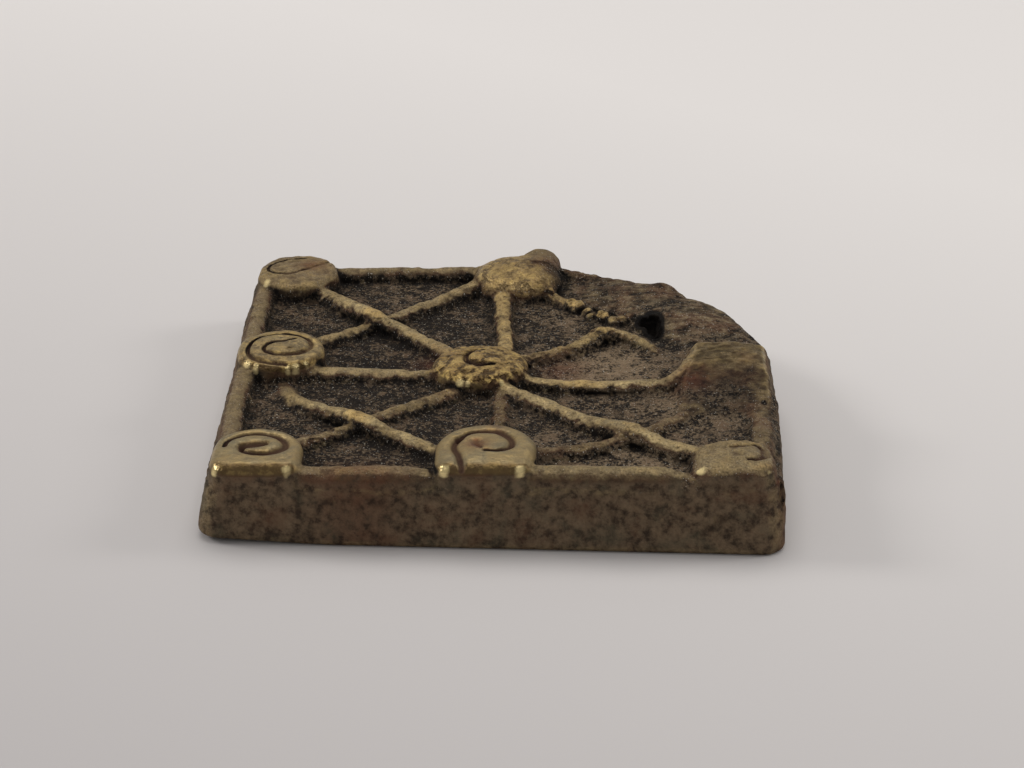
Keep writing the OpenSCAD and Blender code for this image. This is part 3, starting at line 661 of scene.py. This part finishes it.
def build(own):
    """Mesh of one piece, with its look kept in attributes of its points."""
    piece = PIECES[own]
    step = piece.step
    lo = piece.lo - MARGIN
    hi = piece.hi + MARGIN
    axes = [np.arange(lo[k], hi[k] + step, step) for k in range(3)]
    grid = np.stack(np.meshgrid(*axes, indexing="ij"), axis=-1)
    points = grid.reshape(-1, 3)
    values = np.clip(piece.shape(points), -BAND, BAND)
    band = np.flatnonzero((np.abs(values) < BAND) & (points[:, 2] > SOLE))
    values[band] = piece_value(points[band], own)
    values = values.reshape(grid.shape[:3])
    # The grid's outer faces lie outside, so that the mesh is closed
    values[0], values[-1] = 1.0, 1.0
    values[:, 0], values[:, -1] = 1.0, 1.0
    values[:, :, 0], values[:, :, -1] = 1.0, 1.0
    verts, quads = surface(values, lo, step)
    # One move onto the true surface, of half a grid step at most
    v, g = gradient(verts, lambda q: piece_value(q, own))
    move = -v[:, None] * g / np.maximum((g ** 2).sum(axis=1), 0.3)[:, None]
    size = np.linalg.norm(move, axis=1)
    verts = verts + move * np.minimum(1.0, 0.5 * step / np.maximum(size, 1e-9))[:, None]
    faces = quads.tolist()
    if piece.name == "base_plate":
        verts, faces = merged_underside(verts, quads)

    _, normals = gradient(verts, lambda q: survey(q)[0])
    normals /= np.maximum(np.linalg.norm(normals, axis=1), 1e-9)[:, None]
    rough, shine, ochre, flank, streak = survey(verts)[2].T
    hollow = np.clip(1.0 - survey(verts + HOLLOW * normals)[0] / HOLLOW, 0.0, 1.0)
    basin = np.clip(1.0 - survey(verts + BASIN * normals)[0] / BASIN, 0.0, 1.0)
    ridge = np.clip(1.0 + survey(verts - RIDGE * normals)[0] / RIDGE, 0.0, 1.0)
    crest = np.clip(1.0 + survey(verts - CREST * normals)[0] / CREST, 0.0, 1.0)
    h = rise(verts)
    to_front, nz = -normals[:, 1], normals[:, 2]
    pit = pit_shape(verts)
    mark = np.zeros(len(verts))
    if piece.mark:
        mark = smooth(0.2, 0.9, piece.mark(verts)) * smooth(0.6, 1.0, h)
    # Rubbed where a piece stands up from the field and can be touched
    facing = np.maximum(smooth(0.15, 1.0, nz), smooth(0.7, 1.1, h) * smooth(-0.25, 0.2, nz))
    facing = np.maximum(facing, flank * smooth(0.0, 0.3, h) * smooth(-0.6, -0.1, nz))
    raised = h + 0.35 * smooth(0.6, 0.95, nz) * smooth(0.05, 0.3, h)
    wear = shine * smooth(0.05, 0.7, raised) * facing
    # Painted shade: the shade patches take rubbed metal away, so that they come out darker
    wear = wear * (1.0 - spots(verts, SHADE_PATCHES))
    wear = np.clip(wear - 0.7 * hollow - 0.3 * np.clip(basin - 0.15, 0, 1), 0, 1)
    # Painted shade: dark in hollows, between threads and in the pit, where little light reaches
    dirt = np.clip(0.9 * hollow + 0.6 * np.clip(basin - 0.1, 0, 1), 0, 1)
    dirt = np.maximum(dirt, smooth(0.3, 0.1, pit))
    side = smooth(-0.9, -0.4, wall(verts)) * np.maximum(smooth(0.75, 0.35, nz), smooth(0.1, -0.4, h))
    # Lips of the bosses: painted highlights on the corners, and a smooth front darkened with painted shade
    painted_highlight = spots(verts, HIGHLIGHT_SPOTS) * smooth(0.1, 0.4, to_front) * (1.0 - mark)
    painted_highlight = painted_highlight * smooth(0.55, 0.8, h) * smooth(1.5, 1.25, h)
    front_shade_and_polish = smooth(0.08, 0.5, to_front) * smooth(0.45, 0.85, h) * smooth(0.9, 1.0, shine)
    # Rubbed edges: ridges, and the corners and feet of the walls
    corner = smooth(0.3, 0.6, np.abs(normals[:, 0])) * smooth(0.3, 0.6, np.abs(normals[:, 1]))
    worn = side * np.maximum(0.7 * corner, 0.6 * smooth(0.5, 0.15, verts[:, 2]))
    ridge = smooth(0.26, 0.6, ridge) * smooth(0.3, 0.0, hollow) * smooth(0.1, 0.6, pit)
    looks = {"wear": wear, "dirt": dirt, "mark": mark, "side": side, "painted_highlight": painted_highlight, "front_shade_and_polish": front_shade_and_polish,
             # ochre also sets where the painted crest highlights show
             "ochre": np.maximum(ochre, spots(verts, OCHRE_AND_HIGHLIGHT)), "pitted": ochre, "grit": rough,
             "streak": streak, "ridge": np.maximum(ridge, worn),
             "crest": smooth(0.45, 0.75, crest) * smooth(0.45, 0.9, wear),
             "dust": spots(verts, DUST), "red": spots(verts, RED)}

    mesh = bpy.data.meshes.new(piece.name)
    mesh.from_pydata((verts * MM).tolist(), [], faces)
    mesh.polygons.foreach_set("use_smooth", np.ones(len(faces), dtype=bool))
    for name, data in looks.items():
        layer = mesh.attributes.new(name, "FLOAT", "POINT")
        layer.data.foreach_set("value", np.ascontiguousarray(data, dtype=np.float32))
    mesh.normals_split_custom_set_from_vertices(normals.tolist())
    obj = bpy.data.objects.new(piece.name + "_cast", mesh)
    bpy.context.scene.collection.objects.link(obj)
    return obj


def linear(r, g, b):
    """Linear colour from 0 to 255 display values."""
    out = []
    for c in (r, g, b):
        c = c / 255.0
        out.append(c / 12.92 if c <= 0.04045 else ((c + 0.055) / 1.055) ** 2.4)
    return (*out, 1.0)


# Colour sockets of a mix node
MIX_SHARE, MIX_A, MIX_B, MIX_OUT = 0, 6, 7, 2


class Graph:
    """Small helper for writing a material as nested calls."""

    def __init__(self, name):
        self.material = bpy.data.materials.new(name)
        self.material.use_nodes = True
        self.tree = self.material.node_tree
        self.tree.nodes.clear()

    def node(self, kind, inputs=None, **settings):
        """New node, with its inputs linked or set."""
        made = self.tree.nodes.new(kind)
        for key, value in settings.items():
            setattr(made, key, value)
        for key, value in (inputs or {}).items():
            if isinstance(value, bpy.types.NodeSocket):
                self.tree.links.new(value, made.inputs[key])
            else:
                made.inputs[key].default_value = value
        return made

    def math(self, operation, a, b, clamp=False):
        """Result of one sum, kept from 0 to 1 with clamp."""
        made = self.node("ShaderNodeMath", {0: a, 1: b}, operation=operation, use_clamp=clamp)
        return made.outputs[0]

    def times(self, a, b, clamp=False):
        return self.math("MULTIPLY", a, b, clamp)

    def plus(self, a, b, clamp=False):
        return self.math("ADD", a, b, clamp)

    def minus(self, a, b, clamp=False):
        return self.math("SUBTRACT", a, b, clamp)

    def attribute(self, name):
        """Value kept in the points of the mesh."""
        return self.node("ShaderNodeAttribute", attribute_name=name).outputs["Fac"]

    def noise(self, place, scale, detail, rough):
        """Noise at a place, with values round 0.5."""
        made = self.node("ShaderNodeTexNoise", {"Vector": place, "Scale": scale, "Detail": detail,
                                                "Roughness": rough})
        return made.outputs["Fac"]

    def span(self, value, lo, hi, to_lo=0.0, to_hi=1.0):
        """Value moved from the range lo to hi into another range, and kept within it."""
        made = self.node("ShaderNodeMapRange", {"Value": value, "From Min": lo, "From Max": hi,
                                                "To Min": to_lo, "To Max": to_hi}, clamp=True)
        return made.outputs["Result"]

    def mix(self, share, a, b):
        """Colour that goes from a to b with the share."""
        made = self.node("ShaderNodeMix", {MIX_SHARE: share, MIX_A: a, MIX_B: b}, data_type="RGBA")
        return made.outputs[MIX_OUT]


# Colours of the dirt, skin, metal and floor
CRUST = linear(108, 92, 73)
DUST_TONE = linear(136, 116, 92)
RUST = linear(80, 52, 38)
WALL_DARK = linear(62, 51, 41)
WALL_PALE = linear(124, 104, 82)
WALL_RED = linear(116, 82, 62)
WALL_OLIVE = linear(86, 81, 65)
SKIN_BROWN = linear(84, 70, 53)
SKIN_RED = linear(92, 66, 49)
METAL_GREY = linear(140, 130, 103)
METAL_BROWN = linear(116, 88, 62)
METAL_OCHRE = linear(160, 125, 68)
# Colour of the painted shade on the front faces of the lips
LIP_FRONT_SHADE = linear(80, 62, 38)
METAL_RED = linear(120, 72, 52)
# Colours of rubbed metal with painted highlight on the crests
RUBBED_HIGHLIGHT = linear(198, 176, 130)
OCHRE_HIGHLIGHT = linear(228, 188, 114)
PALE_OCHRE = linear(196, 166, 102)
STREAK_PALE = linear(146, 130, 102)
STREAK_DARK = linear(38, 31, 25)
SPECK = linear(40, 32, 25)
HOLE = linear(56, 41, 28)
CRUMB = linear(190, 168, 124)
RED_STAIN = linear(94, 52, 38)
# Near-black colour of the painted shade in hollows and in the pit
SHADE_DARK = linear(17, 14, 12)
GROOVE = linear(64, 43, 33)
EDGE_PALE = linear(160, 140, 98)
# Colour of the painted highlights on the lip corners
HIGHLIGHT_PALE = linear(232, 208, 150)
# Colour of the painted glints on the field
PAINTED_GLINT = linear(190, 182, 168)
# Floor colours with painted shade at the front left and lighter at the back right
PAPER_SHADED = linear(184, 178, 175)
PAPER_LIT = linear(220, 214, 209)
# Depth of the bump in millimetres, and strength of the mirroring on the dirt
BUMP = 0.28
SPECULAR = 0.06


def brass(name, bright, dark):
    """Worn, dirty cast brass: rubbed metal and painted highlights on crests, painted shade in hollows,
    gritty between.
    """
    g = Graph(name)
    place = g.node("ShaderNodeVectorMath", {0: g.node("ShaderNodeTexCoord").outputs["Object"],
                                            1: (1 / MM, 1 / MM, 1 / MM)}, operation="MULTIPLY").outputs[0]
    along = g.node("ShaderNodeVectorMath", {0: place, 1: (0.3, 1.4, 1.4)},
                   operation="MULTIPLY").outputs[0]
    broad = g.noise(place, 0.42, 4.0, 0.6)
    mid = g.noise(place, 1.5, 4.0, 0.65)
    fine = g.noise(place, 5.0, 3.0, 0.7)
    spark = g.noise(place, 9.0, 1.0, 0.5)
    lines = g.noise(along, 2.0, 4.0, 0.65)
    sand = g.noise(place, 7.5, 2.0, 0.6)
    blots = g.noise(place, 1.7, 3.0, 0.65)
    wear, dirt, ochre = g.attribute("wear"), g.attribute("dirt"), g.attribute("ochre")
    grit, mark, ridge = g.attribute("grit"), g.attribute("mark"), g.attribute("ridge")
    dust, red, side = g.attribute("dust"), g.attribute("red"), g.attribute("side")
    streak, front_shade_and_polish, pitted = g.attribute("streak"), g.attribute("front_shade_and_polish"), g.attribute("pitted")
    crest = g.attribute("crest")
    field = g.minus(1.0, side)

    # Grains of lighter crust over the dark ground of the field
    clumps = g.plus(g.times(dust, 0.16), g.times(g.minus(broad, 0.5), 0.5))
    clumps = g.plus(clumps, g.times(g.minus(mid, 0.5), 0.7))
    grains = g.span(g.plus(fine, clumps), 0.48, 0.66)
    ground = g.mix(grains, dark, g.mix(dust, CRUST, DUST_TONE))
    rust = g.span(g.plus(mid, g.times(broad, 0.6)), 0.84, 1.06)
    rust = g.plus(g.times(rust, 0.6), red, clamp=True)
    ground = g.mix(g.times(rust, 0.6), ground, RUST)
    # Softer brown patina of the walls
    patina = g.mix(g.span(mid, 0.36, 0.64), WALL_DARK, WALL_PALE)
    patina = g.mix(g.span(broad, 0.52, 0.68, 0.0, 0.4), patina, WALL_RED)
    patina = g.mix(g.span(broad, 0.34, 0.46, 0.45, 0.0), patina, WALL_OLIVE)
    patina = g.mix(g.times(grains, 0.3), patina, CRUST)
    ground = g.mix(side, ground, patina)

    # Brown skin first, then bare metal where it is rubbed most, with less of it in the painted shade
    # patches
    level = g.plus(wear, g.times(g.minus(mid, 0.5), 0.7))
    level = g.plus(level, g.times(g.minus(fine, 0.5), g.times(grit, 0.22)))
    level = g.plus(level, g.times(g.minus(lines, 0.5), g.times(streak, 1.1)))
    brown = g.mix(g.span(broad, 0.42, 0.6), SKIN_BROWN, SKIN_RED)
    metal = g.mix(g.span(broad, 0.4, 0.62), bright, METAL_GREY)
    metal = g.mix(g.times(g.span(mid, 0.5, 0.68), g.times(grit, 0.4)), metal, METAL_BROWN)
    metal = g.mix(g.times(ochre, 0.65), metal, METAL_OCHRE)
    # Painted shade on the front faces of the lips, which are also smoother
    metal = g.mix(g.times(front_shade_and_polish, 0.92), metal, LIP_FRONT_SHADE)
    metal = g.mix(g.times(red, 0.6), metal, METAL_RED)
    share = g.span(level, 0.35, 0.95)
    colour = g.mix(g.span(level, 0.08, 0.42), ground, brown)
    colour = g.mix(share, colour, metal)
    # Brightest on crests, partly rubbed metal and partly painted highlight, with paler and darker streaks
    # in the swell
    patchy = g.plus(g.times(mid, 0.5), g.times(broad, 0.5))
    rub_and_highlight = g.times(crest, g.span(patchy, 0.44, 0.58, 0.0, 0.7))
    rub_and_highlight = g.math("MAXIMUM", rub_and_highlight, g.times(crest, g.times(ochre, 0.85)))
    colour = g.mix(rub_and_highlight, colour, g.mix(ochre, RUBBED_HIGHLIGHT, OCHRE_HIGHLIGHT))
    pale = g.times(g.span(blots, 0.5, 0.4), g.times(pitted, share))
    colour = g.mix(g.times(pale, 0.6, clamp=True), colour, PALE_OCHRE)
    colour = g.mix(g.times(streak, g.span(mid, 0.5, 0.64, 0.0, 0.4)), colour, STREAK_PALE)
    colour = g.mix(g.times(streak, g.span(lines, 0.46, 0.32, 0.0, 0.45)), colour, STREAK_DARK)
    # Dark grit and pits in the skin, lighter grains on the rubbed parts
    specks = g.times(grit, g.minus(field, front_shade_and_polish, clamp=True))
    specks = g.times(g.span(sand, 0.54, 0.64), specks)
    colour = g.mix(g.times(specks, 0.4), colour, SPECK)
    holes = g.span(g.plus(blots, g.times(broad, 0.5)), 0.78, 0.88)
    holes = g.times(holes, pitted, clamp=True)
    colour = g.mix(g.times(holes, 0.8), colour, HOLE)
    crumbs = g.times(g.span(sand, 0.44, 0.34), g.times(share, grit))
    crumbs = g.times(crumbs, g.minus(0.35, front_shade_and_polish, clamp=True))
    colour = g.mix(crumbs, colour, CRUMB)
    colour = g.mix(g.times(red, g.span(mid, 0.34, 0.58, 0.1, 0.75)), colour, RED_STAIN)
    # Black hollows of painted shade, brown grooves, pale edges, painted highlights on the lip corners and
    # small painted glints
    # Painted shade: hollows and the pit go near black
    shade_share = g.span(dirt, 0.0, 0.85, 0.0, 0.97)
    colour = g.mix(shade_share, colour, SHADE_DARK)
    colour = g.mix(g.times(mark, g.span(pitted, 0.2, 0.6, 0.9, 0.6)), colour, GROOVE)
    edge = g.times(ridge, g.span(mid, 0.35, 0.6))
    edge = g.times(edge, g.minus(1.0, front_shade_and_polish, clamp=True))
    colour = g.mix(g.times(edge, g.span(grit, 0.3, 1.0, 0.15, 0.4)), colour, EDGE_PALE)
    # Painted highlights on the lip corners
    painted_highlight = g.span(g.plus(g.attribute("painted_highlight"), g.minus(mid, 0.5)), 0.25, 0.85)
    colour = g.mix(g.times(painted_highlight, 0.85, clamp=True), colour, HIGHLIGHT_PALE)
    # Painted glints: small white specks on the field
    painted_glint = g.minus(g.minus(field, dirt, clamp=True), g.plus(front_shade_and_polish, share), clamp=True)
    painted_glint = g.times(g.span(spark, 0.68, 0.73), painted_glint)
    colour = g.mix(g.times(painted_glint, 0.75), colour, PAINTED_GLINT)

    # Clean metal is smoother and mirrors more
    clean = g.minus(g.math("MAXIMUM", share, edge), g.plus(mark, dirt), clamp=True)
    rough = g.minus(g.span(clean, 0.0, 1.0, 0.7, 0.38), g.times(painted_glint, 0.25))
    rough = g.minus(rough, g.times(g.math("MAXIMUM", edge, front_shade_and_polish), 0.1))
    rough = g.minus(rough, g.times(painted_highlight, 0.1))
    height = g.times(fine, g.span(share, 0.0, 1.0, 0.8, 0.45))
    height = g.plus(height, g.times(mid, 0.9))
    height = g.minus(height, g.times(holes, 0.5))
    height = g.plus(height, g.times(lines, g.times(streak, 0.8)))
    bump = g.node("ShaderNodeBump", {"Strength": g.times(grit, 0.75, clamp=True),
                                     "Distance": BUMP * MM, "Height": height})
    shader = g.node("ShaderNodeBsdfPrincipled", {
        "Base Color": colour, "Roughness": rough, "Normal": bump.outputs["Normal"],
        "Metallic": g.span(clean, 0.0, 1.0, 0.0, 0.72), "Specular IOR Level": SPECULAR})
    g.node("ShaderNodeOutputMaterial", {"Surface": shader.outputs["BSDF"]})
    return g.material


MATERIALS = {
    "worn_brass": brass("worn_brass", linear(160, 139, 99), linear(32, 27, 23)),
    "dull_brass": brass("dull_brass", linear(152, 134, 99), linear(34, 29, 24)),
    "dark_brass": brass("dark_brass", linear(150, 130, 92), linear(32, 27, 23)),
}
SLOTS = {}
for name in NAMES:
    SLOTS[name] = "worn_brass"
    if name.startswith("rim_") or name == "corner_swell":
        SLOTS[name] = "dull_brass"
    if name in ("base_plate", "gate_stub"):
        SLOTS[name] = "dark_brass"

for own, name in enumerate(NAMES):
    obj = build(own)
    obj.data.materials.append(MATERIALS[SLOTS[name]])
    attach(obj, "root")
    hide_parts(name)


# Floor, which lightens towards the back right: painted shade darkens it towards the front left
floor_mesh = bpy.data.meshes.new("floor")
floor_half = 3.0
floor_mesh.from_pydata([(-floor_half, -floor_half, 0), (floor_half, -floor_half, 0),
                        (floor_half, floor_half, 0), (-floor_half, floor_half, 0)], [], [(0, 1, 2, 3)])
floor = bpy.data.objects.new("floor", floor_mesh)
bpy.context.scene.collection.objects.link(floor)
paper = Graph("floor_paper")
paper_place = paper.node("ShaderNodeTexCoord").outputs["Object"]
paper_at = paper.node("ShaderNodeSeparateXYZ", {0: paper_place}).outputs
paper_run = paper.plus(paper_at[1], paper.times(paper_at[0], 0.7))
paper_tone = paper.mix(paper.span(paper_run, -0.06, 0.07), PAPER_SHADED, PAPER_LIT)
paper_shader = paper.node("ShaderNodeBsdfPrincipled", {"Base Color": paper_tone, "Roughness": 0.9})
paper.node("ShaderNodeOutputMaterial", {"Surface": paper_shader.outputs["BSDF"]})
floor_mesh.materials.append(paper.material)


def area_light(name, place, size, power):
    """Soft square light at a place, turned towards the part."""
    data = bpy.data.lights.new(name, "AREA")
    data.shape = "SQUARE"
    data.size = size
    data.energy = power
    lamp = bpy.data.objects.new(name, data)
    lamp.location = place
    lamp.rotation_euler = (-Vector(place)).to_track_quat("-Z", "Y").to_euler()
    bpy.context.scene.collection.objects.link(lamp)


area_light("left", (-0.42, 0.08, 0.26), 0.14, 0.8)
area_light("right", (0.42, 0.10, 0.26), 0.14, 0.5)
area_light("overhead", (0.0, 0.18, 0.60), 0.5, 1.85)
area_light("front", (0.0, -0.50, 0.40), 0.4, 0.25)

world = bpy.data.worlds.new("studio")
world.use_nodes = True
sky = world.node_tree.nodes["Background"].inputs
sky["Color"].default_value = (0.95, 0.97, 1.0, 1.0)
sky["Strength"].default_value = 0.36
bpy.context.scene.world = world
bpy.context.scene.view_settings.view_transform = "Standard"

# Camera at the photo's angle: turned a little left of straight on, 25 degrees above the table
turn, height, tilt = math.radians(-1.9), math.radians(25.0), math.radians(0.45)
forward = Vector((math.sin(turn) * math.cos(height), math.cos(turn) * math.cos(height),
                  -math.sin(height)))
flat_right = Vector((math.cos(turn), -math.sin(turn), 0.0))
flat_up = flat_right.cross(forward)
right = math.cos(tilt) * flat_right + math.sin(tilt) * flat_up
up = -math.sin(tilt) * flat_right + math.cos(tilt) * flat_up
camera_data = bpy.data.cameras.new("camera")
camera_data.sensor_width = 36.0
camera_data.lens = 121.6
camera_data.clip_start = 0.01
camera_data.clip_end = 20.0
camera = bpy.data.objects.new("camera", camera_data)
camera_aim, camera_away = Vector((0.00069, 0.00062, 0.003)), 0.225
spot = camera_aim - camera_away * forward
camera.matrix_world = Matrix((
    (right.x, up.x, -forward.x, spot.x),
    (right.y, up.y, -forward.y, spot.y),
    (right.z, up.z, -forward.z, spot.z),
    (0.0, 0.0, 0.0, 1.0)))
bpy.context.scene.collection.objects.link(camera)
bpy.context.scene.camera = camera
